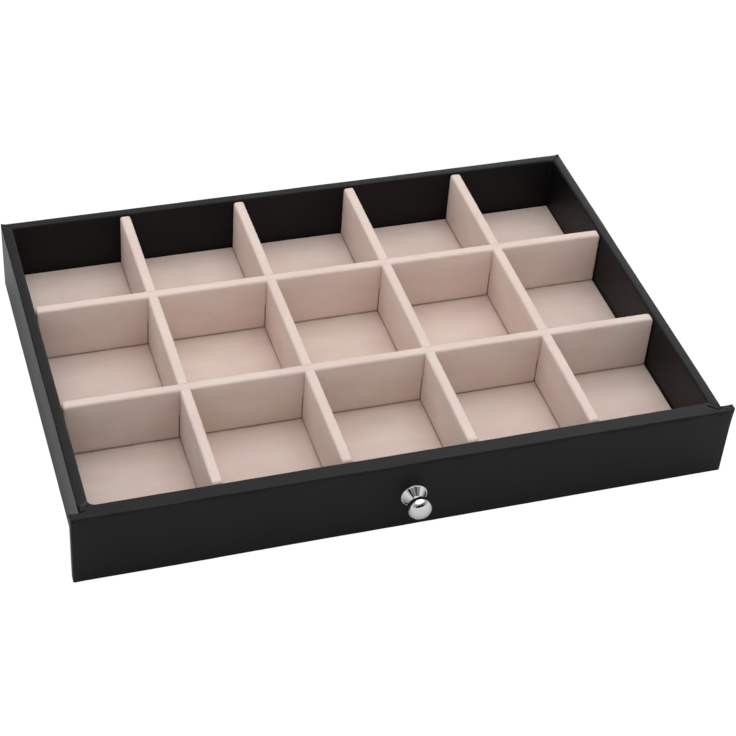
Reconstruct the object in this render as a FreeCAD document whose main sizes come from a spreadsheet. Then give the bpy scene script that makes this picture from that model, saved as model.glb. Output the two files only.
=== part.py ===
# Drawer for a cufflink box: a shallow leatherette-covered tray with a velvet floor,
# a loose lattice of velvet-covered dividers and a chrome knob. Millimetres, +Z up, +Y to the back.
# The origin is the middle of the tray's underside, fascia and knob not counted.
import FreeCAD, Part
import math
import os

import Sketcher

Vector = FreeCAD.Vector

doc = FreeCAD.newDocument("CufflinkDrawer")

# ---------------------------------------------------------------- driving dimensions
driving_sizes = [
    # tray
    ("box_width", 300.0, "outside of the left wall to outside of the right wall"),
    ("box_depth", 207.7, "back of the fascia's ears to outside of the back wall"),
    ("box_height", 38.4, "underside to rim"),
    ("wall_board", 4.2, "board in the side and back walls"),
    ("front_board", 3.6, "board in the front wall, thinner because the fascia is glued to it"),
    ("bottom_board", 4.0, "board of the bottom"),
    ("leather", 0.4, "thickness of the leatherette"),
    ("board_round", 0.6, "rounding of the boards' edges under the leatherette"),
    ("turn_under", 12.0, "how far the wall covers turn in under the bottom"),
    # fascia
    ("fascia_board", 3.5, "board of the fascia"),
    ("fascia_overhang", 4.0, "how far the fascia stands out past each side wall"),
    # floor
    ("floor_card", 4.2, "card under the floor velvet"),
    ("floor_velvet", 0.6, "thickness of the floor velvet"),
    ("floor_gap", 0.3, "gap between the floor pad and each wall"),
    # dividers
    ("divider_board", 4.2, "board in every divider"),
    ("divider_velvet", 0.4, "thickness of the velvet on the dividers"),
    ("divider_round", 0.8, "rounding of the divider boards' edges"),
    ("divider_corner", 1.6, "rounding of the divider boards' top corners, seen from the side"),
    ("divider_drop", 0.1, "dividers' tops below the rim"),
    ("divider_lift", 0.2, "gap between the dividers and the floor velvet"),
    ("divider_end_gap", 0.4, "gap between a divider's end and the wall"),
    ("slot_gap", 0.15, "gap on each side of a divider in its slot"),
    ("slot_relief", 0.2, "extra depth of each slot, shared where two slots meet"),
    ("front_row", 62.5, "clear depth of the front row of compartments"),
    ("middle_row", 64.0, "clear depth of the middle row of compartments"),
    # knob and its fixing
    ("knob_drop", 0.3, "knob's axis below the middle of the fascia"),
    ("flange_radius", 6.2, "knob's flange"),
    ("flange_rim", 0.7, "height of the flange's rim"),
    ("flange_lip", 0.6, "width of the bright lip round the flange"),
    ("flange_sweep", 5.0, "radius of the hollow between flange and neck"),
    ("neck_radius", 2.2, "thinnest part of the knob"),
    ("neck_reach", 4.3, "fascia to the middle of the neck"),
    ("neck_length", 0.5, "straight part of the neck"),
    ("head_radius", 5.75, "knob's head"),
    ("head_reach", 8.4, "fascia to the widest part of the head"),
    ("head_back_sweep", 5.0, "radius of the head's back"),
    ("knob_reach", 12.8, "fascia to the tip of the knob"),
    ("screw_radius", 1.5, "M3 machine screw"),
    ("screw_length", 12.0, "under the head"),
    ("screw_head_radius", 2.8, "pan head"),
    ("screw_head", 1.9, "height of the pan head"),
    ("screw_head_round", 0.9, "rounding of the pan head"),
    ("recess_span", 3.2, "tip to tip of the cross recess"),
    ("recess_width", 0.6, "width of the cross recess's arms"),
    ("recess_depth", 1.1, "depth of the cross recess"),
    ("screw_play", 0.1, "radial play of the screw in the boards"),
    ("tap_clearance", 1.0, "threaded hole beyond the screw's tip"),
    ("washer_radius", 3.5, "plain M3 washer"),
    ("washer", 0.5, "thickness of the washer"),
    # brads across the mitred corners
    ("brad_radius", 0.6, "brad"),
    ("brad_length", 14.0, "brad"),
    ("brad_inset", 9.0, "brads' distance from the boards' top and bottom edges"),
]

cross_count = 4  # cross dividers, front to back
long_count = 2  # long dividers, side to side
quarter_turn = 90  # degrees

sheet = doc.addObject("Spreadsheet::Sheet", "Sizes")
for row, (alias, value, meaning) in enumerate(driving_sizes, start=1):
    sheet.set(f"A{row}", alias)
    sheet.set(f"B{row}", str(value))
    sheet.set(f"C{row}", meaning)
    sheet.setAlias(f"B{row}", alias)
doc.recompute()

# ---------------------------------------------------------------- places worked out from the sizes
half_width = "(Sizes.box_width / 2)"
half_depth = "(Sizes.box_depth / 2)"
leather = "Sizes.leather"
side_wall = "(Sizes.wall_board + 2 * Sizes.leather)"
front_wall = "Sizes.front_board"  # its board stands a leather's thickness into the fascia
fascia = "(Sizes.fascia_board + 2 * Sizes.leather)"
fascia_face = f"(-{half_depth} - {fascia})"
board_height = "(Sizes.box_height - 2 * Sizes.leather)"
cover_round = "(Sizes.board_round + Sizes.leather)"

inner_width = f"(Sizes.box_width - 2 * {side_wall})"
inner_front = f"(-{half_depth} + {front_wall})"
inner_back = f"({half_depth} - {side_wall})"
inner_depth = f"(Sizes.box_depth - {front_wall} - {side_wall})"
inner_middle = f"(({inner_front} + {inner_back}) / 2)"
tray_floor = "(Sizes.leather + Sizes.bottom_board)"

floor_top = f"({tray_floor} + Sizes.floor_card + Sizes.floor_velvet)"
divider = "(Sizes.divider_board + 2 * Sizes.divider_velvet)"
divider_foot = f"({floor_top} + Sizes.divider_lift)"
divider_height = f"(Sizes.box_height - Sizes.divider_drop - {divider_foot})"
slot_width = f"({divider} + 2 * Sizes.slot_gap)"
slot_height = f"(({divider_height} + Sizes.slot_relief) / 2)"
cross_pitch = f"(({inner_width} + {divider}) / ({cross_count} + 1))"
front_row_end = f"({inner_front} + Sizes.front_row + {divider} / 2)"
row_pitch = f"(Sizes.middle_row + {divider})"

knob_height = "(Sizes.box_height / 2 - Sizes.knob_drop)"
clamped = f"({fascia} + {front_wall} + Sizes.washer)"
washer_face = f"({inner_front} + Sizes.washer)"


def value_of(expression):
    """Number that an expression gives with the sheet as it stands."""
    return float(sheet.evalExpression(expression))


# ---------------------------------------------------------------- drawing and shaping
def new_body(name):
    body = doc.addObject("PartDesign::Body", name)
    body.Label = name
    return body


def origin_feature(body, role):
    return next(feature for feature in body.Origin.OriginFeatures if feature.Role == role)


def new_sketch(body, name, plane, offset=None):
    sketch = body.newObject("Sketcher::SketchObject", name)
    sketch.AttachmentSupport = [(origin_feature(body, plane), "")]
    sketch.MapMode = "FlatFace"
    if offset:
        sketch.setExpression("AttachmentOffset.Base.z", offset)
    return sketch


def arc_between(start, end, radius, side):
    """Arc of a circle from start to end, its centre left (1) or right (-1) of the way there."""
    chord = end - start
    to_centre = math.sqrt(radius ** 2 - (chord.Length / 2) ** 2)
    left = Vector(-chord.y, chord.x, 0).normalize()
    centre = (start + end) * 0.5 + left * (to_centre * side)
    angles = [math.atan2(point.y - centre.y, point.x - centre.x) for point in (start, end)]
    if side < 0:
        angles.reverse()
    return Part.ArcOfCircle(Part.Circle(centre, Vector(0, 0, 1), radius), angles[0], angles[1])


def draw_outline(sketch, corners, arcs=None):
    """Closed outline: corners are pairs of expressions, arcs maps an edge's number to (radius, side)."""
    arcs = arcs or {}
    points = [Vector(value_of(x), value_of(y), 0) for x, y in corners]
    ends = []
    for index, point in enumerate(points):
        following = points[(index + 1) % len(points)]
        radius, side = arcs.get(index, (None, 1))
        if radius is None:
            sketch.addGeometry(Part.LineSegment(point, following))
        else:
            sketch.addGeometry(arc_between(point, following, value_of(radius), side))
        ends.append((1, 2) if side > 0 else (2, 1))
    for index, (x, y) in enumerate(corners):
        following = (index + 1) % len(points)
        sketch.addConstraint(
            Sketcher.Constraint("Coincident", index, ends[index][1], following, ends[following][0])
        )
        across = sketch.addConstraint(
            Sketcher.Constraint("DistanceX", -1, 1, index, ends[index][0], points[index].x)
        )
        up = sketch.addConstraint(
            Sketcher.Constraint("DistanceY", -1, 1, index, ends[index][0], points[index].y)
        )
        sketch.setExpression(f"Constraints[{across}]", x)
        sketch.setExpression(f"Constraints[{up}]", y)
    for index, (radius, side) in arcs.items():
        bend = sketch.addConstraint(Sketcher.Constraint("Radius", index, value_of(radius)))
        sketch.setExpression(f"Constraints[{bend}]", radius)


def rectangle(x0, y0, x1, y1):
    return [(x0, y0), (x1, y0), (x1, y1), (x0, y1)]


def draw_circle(sketch, radius):
    sketch.addGeometry(Part.Circle(Vector(0, 0, 0), Vector(0, 0, 1), value_of(radius)))
    sketch.addConstraint(Sketcher.Constraint("Coincident", 0, 3, -1, 1))
    size = sketch.addConstraint(Sketcher.Constraint("Radius", 0, value_of(radius)))
    sketch.setExpression(f"Constraints[{size}]", radius)


def pad(body, sketch, length):
    feature = body.newObject("PartDesign::Pad", f"{sketch.Name}_pad")
    feature.Profile = sketch
    feature.setExpression("Length", length)
    doc.recompute()
    return feature


def revolve(body, sketch):
    feature = body.newObject("PartDesign::Revolution", f"{sketch.Name}_revolution")
    feature.Profile = sketch
    feature.ReferenceAxis = (sketch, ["V_Axis"])
    feature.Angle = 4 * quarter_turn
    doc.recompute()
    return feature


def pocket(body, sketch, depth=None, reverse=False):
    """Pocket of the given depth, or right through both ways. Stops the build if nothing was cut."""
    before = body.Tip.Shape.Volume
    feature = body.newObject("PartDesign::Pocket", f"{sketch.Name}_pocket")
    feature.Profile = sketch
    if depth is None:
        feature.Type = "ThroughAll"
        feature.SideType = "Symmetric"
    else:
        feature.setExpression("Length", depth)
        feature.Reversed = reverse
    doc.recompute()
    if feature.Shape.Volume >= before:
        raise RuntimeError(f"{feature.Name} cuts nothing")
    return feature


def row_of(body, original, count, span):
    """Copies of a feature along the body's X axis, the first and last a span apart."""
    pattern = body.newObject("PartDesign::LinearPattern", f"{original.Name}_row")
    pattern.Originals = [original]
    pattern.Direction = (origin_feature(body, "X_Axis"), [""])
    pattern.Occurrences = count
    pattern.setExpression("Length", span)
    body.Tip = pattern
    doc.recompute()
    return pattern


def all_edges(shape):
    return [f"Edge{number}" for number in range(1, len(shape.Edges) + 1)]


def edges_along_x(shape, places):
    """Names of the straight edges parallel to X that lie at any of the (y, z) places."""
    wanted = [(value_of(y), value_of(z)) for y, z in places]
    names = []
    for number, edge in enumerate(shape.Edges, start=1):
        first, last = edge.firstVertex().Point, edge.lastVertex().Point
        if abs(abs(last.x - first.x) - edge.Length) > Part.Precision.confusion():
            continue
        if any(math.dist((first.y, first.z), place) < Part.Precision.confusion() for place in wanted):
            names.append(f"Edge{number}")
    return names


def round_off(body, edge_names, radius, name):
    solid = body.Tip
    fillet = body.newObject("PartDesign::Fillet", name)
    fillet.Base = (solid, edge_names)
    fillet.setExpression("Radius", radius)
    doc.recompute()
    return fillet


def place(piece, x="0", y="0", z="0", axis=Vector(0, 0, 1), angle=0):
    piece.Placement = FreeCAD.Placement(Vector(), FreeCAD.Rotation(axis, angle))
    for name, expression in zip("xyz", (x, y, z)):
        piece.setExpression(f"Placement.Base.{name}", expression)


def slab(name, width, depth, height, x="0", y="0", z="0"):
    """Upright block, centred on its own X and Y."""
    body = new_body(name)
    sketch = new_sketch(body, f"{name}_plan", "XY_Plane")
    draw_outline(
        sketch, rectangle(f"-{width} / 2", f"-{depth} / 2", f"{width} / 2", f"{depth} / 2")
    )
    pad(body, sketch, height)
    place(body, x, y, z)
    return body


def cut(name, base, *tools):
    """Base less its tools, as a piece of its own."""
    for step, tool in enumerate(tools, start=1):
        last = step == len(tools)
        feature = doc.addObject("Part::Cut", name if last else f"{name}_step_{step}")
        feature.Base = base
        feature.Tool = tool
        base = feature
    doc.recompute()
    return base


pieces = []


def keep(piece, name):
    """Marks a finished piece as a sub-part with the name it is known by."""
    piece.Label = name
    pieces.append(piece)
    return piece


# ---------------------------------------------------------------- brads and the screw's way
def rod(name, radius, length, x, y, z, axis, angle):
    cylinder = doc.addObject("Part::Cylinder", name)
    cylinder.setExpression("Radius", radius)
    cylinder.setExpression("Height", length)
    place(cylinder, x, y, z, axis, angle)
    return cylinder


def corner_brads():
    """Two brads across each mitre, driven in from the side boards' outer faces."""
    rows = {
        "front": f"-{half_depth} - {leather} + Sizes.front_board / 2",
        "back": f"{half_depth} - {leather} - Sizes.wall_board / 2",
    }
    heights = {
        "low": f"{leather} + Sizes.brad_inset",
        "high": f"Sizes.box_height - {leather} - Sizes.brad_inset",
    }
    brads = []
    for side, sign, angle in (("left", "-", quarter_turn), ("right", "", -quarter_turn)):
        start = f"{sign}({half_width} - {leather})"
        for row, y in rows.items():
            for level, z in heights.items():
                brad = rod(
                    f"brad_{side}_{row}_{level}", "Sizes.brad_radius", "Sizes.brad_length",
                    start, y, z, Vector(0, 1, 0), angle,
                )
                brads.append(brad)
    group = doc.addObject("Part::Compound", "corner_brads")
    group.Links = brads
    doc.recompute()
    return keep(group, "corner_brads")


brads = corner_brads()

to_front = (Vector(1, 0, 0), quarter_turn)  # turns a piece's own +Z to the drawer's front
screw_way = rod(
    "screw_way", "(Sizes.screw_radius + Sizes.screw_play)", f"({clamped} + Sizes.washer)",
    "0", washer_face, knob_height, *to_front,
)


# ---------------------------------------------------------------- walls
# A wall is drawn along its own X, inwards from Y = 0, then turned and moved to its corner.
# Where two walls meet, their boards and covers are mitred. A side wall is thicker than the front
# wall, so its front end is square against the fascia for the difference, and mitred from there.
at_board = (leather, f"({leather} + Sizes.wall_board)")
shoulder = f"({side_wall} - {front_wall})"
mitred = {"shoulder": "0", "board": [(leather, leather), (at_board[1], at_board[1])]}
against_fascia = {
    "shoulder": shoulder,
    "board": [("0", leather), ("0", shoulder), (f"({at_board[1]} - {shoulder})", at_board[1])],
}
walls = {
    "left_side": {
        "length": "Sizes.box_depth",
        "start": mitred,
        "end": against_fascia,
        "corner": (f"-{half_width}", half_depth),
        "turn": -quarter_turn,
    },
    "right_side": {
        "length": "Sizes.box_depth",
        "start": against_fascia,
        "end": mitred,
        "corner": (half_width, f"-{half_depth}"),
        "turn": quarter_turn,
    },
    "back": {
        "length": "Sizes.box_width",
        "start": mitred,
        "end": mitred,
        "corner": (half_width, half_depth),
        "turn": 2 * quarter_turn,
    },
}


def board_blank(name, length, start, end, rounded, corner, turn):
    """Upright board whose ends have the given corners, from its outer face to its inner one."""
    body = new_body(f"{name}_board_blank")
    sketch = new_sketch(body, f"{name}_board_plan", "XY_Plane")
    outline = [(f"{length} - {along}", across) for along, across in end]
    draw_outline(sketch, outline + start[::-1])
    blank = pad(body, sketch, board_height)
    edges = edges_along_x(blank.Shape, rounded)
    round_off(body, edges, "Sizes.board_round", f"{name}_board_rounding")
    place(body, *corner, leather, angle=turn)
    return body


def wall_board(name, length, start, end, corner, turn):
    outer, inner = at_board
    rounded = [(outer, "0"), (outer, board_height), (inner, board_height)]
    return board_blank(name, length, start["board"], end["board"], rounded, corner, turn)


def wall_cover(name, length, start, end, corner, turn):
    """One sheet of leatherette: turned under, up the outer face, over the rim and down the inner face."""
    body = new_body(f"{name}_cover")
    outer, inner = at_board
    board_top = f"(Sizes.box_height - {leather})"
    section = new_sketch(body, f"{name}_cover_section", "YZ_Plane")
    draw_outline(section, [
        ("0", "0"),
        ("Sizes.turn_under", "0"),
        ("Sizes.turn_under", leather),
        (outer, leather),
        (outer, board_top),
        (inner, board_top),
        (inner, tray_floor),
        (side_wall, tray_floor),
        (side_wall, "Sizes.box_height"),
        ("0", "Sizes.box_height"),
    ])
    sheet_along = pad(body, section, length)
    inside = edges_along_x(
        sheet_along.Shape, [(outer, leather), (outer, board_top), (inner, board_top)]
    )
    folded = round_off(body, inside, "Sizes.board_round", f"{name}_cover_inner_folds")
    outside = edges_along_x(
        folded.Shape, [("0", "0"), ("0", "Sizes.box_height"), (side_wall, "Sizes.box_height")]
    )
    round_off(body, outside, cover_round, f"{name}_cover_outer_folds")
    for end_name, shape, tip, sign in (("start", start, "0", "+"), ("end", end, length, "-")):
        mitre = new_sketch(body, f"{name}_cover_{end_name}_mitre", "XY_Plane")
        draw_outline(mitre, [
            (tip, shape["shoulder"]),
            (f"{tip} {sign} (Sizes.turn_under - {shape['shoulder']})", "Sizes.turn_under"),
            (tip, "Sizes.turn_under"),
        ])
        pocket(body, mitre)
    place(body, *corner, angle=turn)
    return body


for wall_name, wall_sizes in walls.items():
    keep(cut(f"{wall_name}_board", wall_board(wall_name, **wall_sizes), brads), f"{wall_name}_board")
    keep(wall_cover(wall_name, **wall_sizes), f"{wall_name}_cover")


# ---------------------------------------------------------------- bottom
board_width = f"(Sizes.box_width - 2 * {at_board[1]})"
front_inset = f"({front_wall} - {leather})"
board_depth = f"(Sizes.box_depth - {at_board[1]} - {front_inset})"
board_middle = f"(({front_inset} - {at_board[1]}) / 2)"
bottom_board = keep(
    slab("bottom_board", board_width, board_depth, "Sizes.bottom_board", y=board_middle, z=leather),
    "bottom_board",
)
keep(
    slab(
        "bottom_lining", "(Sizes.box_width - 2 * Sizes.turn_under)",
        "(Sizes.box_depth - 2 * Sizes.turn_under)", leather,
    ),
    "bottom_lining",
)


# ---------------------------------------------------------------- fascia and front wall
fascia_width = "(Sizes.box_width + 2 * Sizes.fascia_overhang)"
fascia_middle = f"(-{half_depth} - {fascia} / 2)"


def front_prism(name, height, corners):
    """Upright block from the middle of the fascia back to corners given from the right outer one."""
    body = new_body(name)
    sketch = new_sketch(body, f"{name}_plan", "XY_Plane")
    right = [(f"({half_width} - {shoulder})", fascia_middle)]
    right += [(f"({half_width} - {x})", f"(-{half_depth} + {y})") for x, y in corners]
    left = [(f"-{x}", y) for x, y in reversed(right)]
    draw_outline(sketch, right + left)
    pad(body, sketch, height)
    return body


def front_cover_envelope():
    """What the front cover wraps, with the cover: the fascia, the front wall and the turn-in below them."""
    skin = slab("fascia_skin", fascia_width, fascia, "Sizes.box_height", y=fascia_middle)
    round_off(skin, all_edges(skin.Tip.Shape), cover_round, "fascia_skin_rounding")
    wall = front_prism(
        "front_wall_skin", "Sizes.box_height", [(shoulder, "0"), (side_wall, front_wall)]
    )
    rim = edges_along_x(wall.Tip.Shape, [(inner_front, "Sizes.box_height")])
    round_off(wall, rim, cover_round, "front_wall_skin_rounding")
    turn_in = front_prism("front_turn_in", leather, [
        (shoulder, "0"),
        ("Sizes.turn_under", f"(Sizes.turn_under - {shoulder})"),
        ("Sizes.turn_under", "Sizes.turn_under"),
    ])
    envelope = doc.addObject("Part::MultiFuse", "front_cover_envelope")
    envelope.Shapes = [skin, wall, turn_in]
    doc.recompute()
    return envelope


def front_pieces():
    """Front board and fascia board glued face to face, and the one sheet of leatherette over both."""
    mitre = [(f"({shoulder} - {leather})", f"-{leather}"), (at_board[1], front_inset)]
    front_blank = board_blank(
        "front", "Sizes.box_width", mitre, mitre, [(front_inset, board_height)],
        (f"-{half_width}", f"-{half_depth}"), 0,
    )
    fascia_blank = slab(
        "fascia_board_blank", f"({fascia_width} - 2 * {leather})", "Sizes.fascia_board", board_height,
        y=fascia_middle, z=leather,
    )
    round_off(
        fascia_blank, all_edges(fascia_blank.Tip.Shape), "Sizes.board_round", "fascia_board_rounding"
    )
    cover = cut(
        "front_cover", front_cover_envelope(), fascia_blank, front_blank, bottom_board, screw_way
    )
    keep(cover, "front_cover")
    keep(cut("front_board", front_blank, brads, screw_way), "front_board")
    keep(cut("fascia_board", fascia_blank, screw_way), "fascia_board")


front_pieces()


# ---------------------------------------------------------------- floor pad
def floor_block(name, shrink, height):
    """Square-edged block on the tray's bottom, shrunk inside the walls."""
    width = f"({inner_width} - 2 * (Sizes.floor_gap + {shrink}))"
    depth = f"({inner_depth} - 2 * (Sizes.floor_gap + {shrink}))"
    return slab(name, width, depth, height, y=inner_middle, z=tray_floor)


def floor_pieces():
    card = floor_block("floor_card", "Sizes.floor_velvet", "Sizes.floor_card")
    over_card = floor_block("floor_velvet_blank", "0", "(Sizes.floor_card + Sizes.floor_velvet)")
    top_edges = [
        f"Edge{number}"
        for number, edge in enumerate(over_card.Tip.Shape.Edges, start=1)
        if edge.BoundBox.ZMin > value_of("Sizes.floor_card")
    ]
    round_off(over_card, top_edges, "Sizes.floor_velvet", "floor_velvet_rounding")
    keep(card, "floor_card")
    keep(cut("floor_velvet", over_card, card), "floor_velvet")


floor_pieces()


# ---------------------------------------------------------------- dividers
def top_corners(shape):
    """Edges across the plank at the ends of its top."""
    return [
        f"Edge{number}"
        for number, edge in enumerate(shape.Edges, start=1)
        if edge.BoundBox.ZMin > shape.BoundBox.ZMin and edge.BoundBox.XLength < edge.BoundBox.YLength
    ]


def divider_block(name, length, thickness, height, roundings, slots):
    """Plank on edge along its own X, its top corners and edges rounded, with a row of open slots."""
    body = slab(name, length, thickness, height)
    corner, rounding = roundings
    round_off(body, top_corners(body.Tip.Shape), corner, f"{name}_corners")
    edges = edges_along_x(
        body.Tip.Shape, [(f"-{thickness} / 2", height), (f"{thickness} / 2", height)]
    )
    round_off(body, edges, rounding, f"{name}_rounding")
    sketch = new_sketch(body, f"{name}_slot", "XZ_Plane")
    first = slots["first"]
    draw_outline(sketch, rectangle(
        f"{first} - {slot_width} / 2", slots["low"], f"{first} + {slot_width} / 2", slots["high"]
    ))
    row_of(body, pocket(body, sketch), slots["count"], slots["span"])
    return body


def divider_pieces(name, length, slots, x, y, angle):
    """Board and the velvet over its faces, top and ends, both slotted together."""
    core_roundings = ("Sizes.divider_corner", "Sizes.divider_round")
    core = divider_block(
        f"{name}_core", f"({length} - 2 * Sizes.divider_velvet)", "Sizes.divider_board",
        f"({divider_height} - Sizes.divider_velvet)", core_roundings, slots,
    )
    blank_roundings = [f"({rounding} + Sizes.divider_velvet)" for rounding in core_roundings]
    blank = divider_block(f"{name}_blank", length, divider, divider_height, blank_roundings, slots)
    for body in (core, blank):
        place(body, x, y, divider_foot, angle=angle)
    keep(core, f"{name}_core")
    keep(cut(f"{name}_velvet", blank, core), f"{name}_velvet")


long_slots = {
    "first": f"(-{cross_pitch} * ({cross_count} - 1) / 2)",
    "low": "0",
    "high": slot_height,
    "count": cross_count,
    "span": f"({cross_pitch} * ({cross_count} - 1))",
}
cross_slots = {
    "first": f"({front_row_end} - {inner_middle})",
    "low": f"({divider_height} - {slot_height})",
    "high": divider_height,
    "count": long_count,
    "span": row_pitch,
}

for row_index, row_name in enumerate(("front", "rear")):
    divider_pieces(
        f"long_divider_{row_name}", f"({inner_width} - 2 * Sizes.divider_end_gap)", long_slots,
        "0", f"({front_row_end} + {row_pitch} * {row_index})", 0,
    )
for cross_index in range(cross_count):
    divider_pieces(
        f"cross_divider_{cross_index + 1}", f"({inner_depth} - 2 * Sizes.divider_end_gap)", cross_slots,
        f"({cross_pitch} * ({cross_index} - ({cross_count} - 1) / 2))", inner_middle, quarter_turn,
    )


# ---------------------------------------------------------------- knob, screw and washer
def turned_knob():
    body = new_body("knob")
    profile = new_sketch(body, "knob_profile", "XZ_Plane")
    neck_end = "(Sizes.neck_reach + Sizes.neck_length / 2)"
    head_sphere = (
        "((Sizes.head_radius ^ 2 + (Sizes.knob_reach - Sizes.head_reach) ^ 2)"
        " / (2 * (Sizes.knob_reach - Sizes.head_reach)))"
    )
    corners = [
        ("0", "0"),
        ("Sizes.flange_radius", "0"),
        ("Sizes.flange_radius", "Sizes.flange_rim"),
        ("(Sizes.flange_radius - Sizes.flange_lip)", "(Sizes.flange_rim + Sizes.flange_lip / 2)"),
        ("Sizes.neck_radius", "(Sizes.neck_reach - Sizes.neck_length / 2)"),
        ("Sizes.neck_radius", neck_end),
        ("Sizes.head_radius", "Sizes.head_reach"),
        ("0", "Sizes.knob_reach"),
    ]
    arcs = {3: ("Sizes.flange_sweep", -1), 5: ("Sizes.head_back_sweep", 1), 6: (head_sphere, 1)}
    draw_outline(profile, corners, arcs)
    revolve(body, profile)
    bore = new_sketch(body, "knob_bore", "XY_Plane")
    draw_circle(bore, "Sizes.screw_radius")
    pocket(body, bore, f"(Sizes.screw_length - {clamped} + Sizes.tap_clearance)", reverse=True)
    place(body, "0", fascia_face, knob_height, *to_front)
    return body


def pan_head_screw():
    body = new_body("knob_screw")
    profile = new_sketch(body, "screw_profile", "XZ_Plane")
    corners = [
        ("0", "-Sizes.screw_head"),
        ("(Sizes.screw_head_radius - Sizes.screw_head_round)", "-Sizes.screw_head"),
        ("Sizes.screw_head_radius", "(Sizes.screw_head_round - Sizes.screw_head)"),
        ("Sizes.screw_head_radius", "0"),
        ("Sizes.screw_radius", "0"),
        ("Sizes.screw_radius", "Sizes.screw_length"),
        ("0", "Sizes.screw_length"),
    ]
    draw_outline(profile, corners, {1: ("Sizes.screw_head_round", 1)})
    revolve(body, profile)
    tip, flank = "Sizes.recess_span / 2", "Sizes.recess_width / 2"
    for arm, (half_x, half_y) in {"level": (tip, flank), "upright": (flank, tip)}.items():
        recess = new_sketch(body, f"screw_recess_{arm}", "XY_Plane", offset="-Sizes.screw_head")
        draw_outline(recess, rectangle(f"-{half_x}", f"-{half_y}", half_x, half_y))
        pocket(body, recess, "Sizes.recess_depth", reverse=True)
    place(body, "0", washer_face, knob_height, *to_front)
    return body


keep(turned_knob(), "knob")
keep(pan_head_screw(), "knob_screw")
washer_disc = rod(
    "washer_disc", "Sizes.washer_radius", "Sizes.washer", "0", washer_face, knob_height, *to_front
)
keep(cut("knob_washer", washer_disc, screw_way), "knob_washer")


# ---------------------------------------------------------------- check and write
doc.recompute()
for item in doc.Objects:
    if {"Invalid", "Error"} & set(item.State):
        raise RuntimeError(f"{item.Label} did not compute: {item.State}")
for piece in pieces:
    if piece.Shape.isNull() or not piece.Shape.isValid():
        raise RuntimeError(f"{piece.Label} has no valid shape")

os.makedirs("parts", exist_ok=True)
for piece in pieces:
    piece.Shape.exportStep(f"parts/{piece.Label}.step")
    print(f"{piece.Label:28s} {len(piece.Shape.Solids):2d} solid(s) {piece.Shape.Volume:12.1f} mm3")
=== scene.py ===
import math

import bmesh
import bpy
from mathutils import Euler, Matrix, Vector, noise


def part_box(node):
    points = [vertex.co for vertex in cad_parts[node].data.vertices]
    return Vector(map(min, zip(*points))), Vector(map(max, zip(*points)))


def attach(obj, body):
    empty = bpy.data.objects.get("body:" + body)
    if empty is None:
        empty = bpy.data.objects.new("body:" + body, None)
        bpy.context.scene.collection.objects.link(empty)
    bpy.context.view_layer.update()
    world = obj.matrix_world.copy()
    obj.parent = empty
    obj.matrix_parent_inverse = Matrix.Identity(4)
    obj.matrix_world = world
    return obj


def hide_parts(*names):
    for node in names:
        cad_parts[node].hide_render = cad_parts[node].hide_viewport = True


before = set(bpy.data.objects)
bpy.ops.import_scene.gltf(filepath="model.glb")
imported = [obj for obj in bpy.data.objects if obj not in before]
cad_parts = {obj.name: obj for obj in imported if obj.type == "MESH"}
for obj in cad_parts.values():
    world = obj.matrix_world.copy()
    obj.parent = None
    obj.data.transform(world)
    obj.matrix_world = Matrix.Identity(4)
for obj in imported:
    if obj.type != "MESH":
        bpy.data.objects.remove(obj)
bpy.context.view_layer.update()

mm = 0.001
hair = 0.1 * mm  # less than any fold or gap


# Sizes of the tray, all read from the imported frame
def readTray():
    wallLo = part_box("left_side_cover")[0]
    boardLo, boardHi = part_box("left_side_board")
    frontLo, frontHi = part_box("front_cover")
    backLo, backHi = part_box("back_cover")
    leather = boardLo.x - wallLo.x
    return {
        "leather": leather,
        "left": wallLo.x,
        "right": -wallLo.x,
        "ear": frontHi.x,
        "face": frontLo.y,  # front of the fascia
        "earBack": wallLo.y,  # back of the fascia's ears, where the side walls begin
        "back": backHi.y,
        "rim": backHi.z,
        "trayFloor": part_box("bottom_board")[1].z,
        "turnUnder": backHi.y - backLo.y,
        "wall": boardHi.x + leather - wallLo.x,  # thickness of a covered side or back wall
        "frontInside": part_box("front_board")[1].y + leather,
    }


tray = readTray()
print("tray read from the frame:", {name: round(value / mm, 2) for name, value in tray.items()})


# Node trees are put together on a bench: a number, a colour or a socket goes into each input
class NodeBench:
    def __init__(self, tree):
        self.tree = tree

    def fill(self, socket, value):
        if isinstance(value, bpy.types.NodeSocket):
            self.tree.links.new(value, socket)
        else:
            socket.default_value = value

    def add(self, kind, inputs=None, **settings):
        node = self.tree.nodes.new(kind)
        for name, value in settings.items():
            setattr(node, name, value)
        for name, value in (inputs or {}).items():
            self.fill(node.inputs[name], value)
        return node

    def reckon(self, operation, *values):
        node = self.add("ShaderNodeMath", operation=operation)
        for socket, value in zip(node.inputs, values):
            self.fill(socket, value)
        return node.outputs[0]

    def plus(self, first, second):
        return self.reckon("ADD", first, second)

    def times(self, first, second):
        return self.reckon("MULTIPLY", first, second)

    def between(self, value, low, high, toLow=0.0, toHigh=1.0, easing="LINEAR"):
        inputs = {"Value": value, "From Min": low, "From Max": high, "To Min": toLow, "To Max": toHigh}
        return self.add("ShaderNodeMapRange", inputs, interpolation_type=easing).outputs["Result"]

    def spread(self, cloud, toLow, toHigh):  # most of a noise texture's values lie from 0.3 to 0.7
        return self.between(cloud, 0.3, 0.7, toLow, toHigh)


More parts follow.
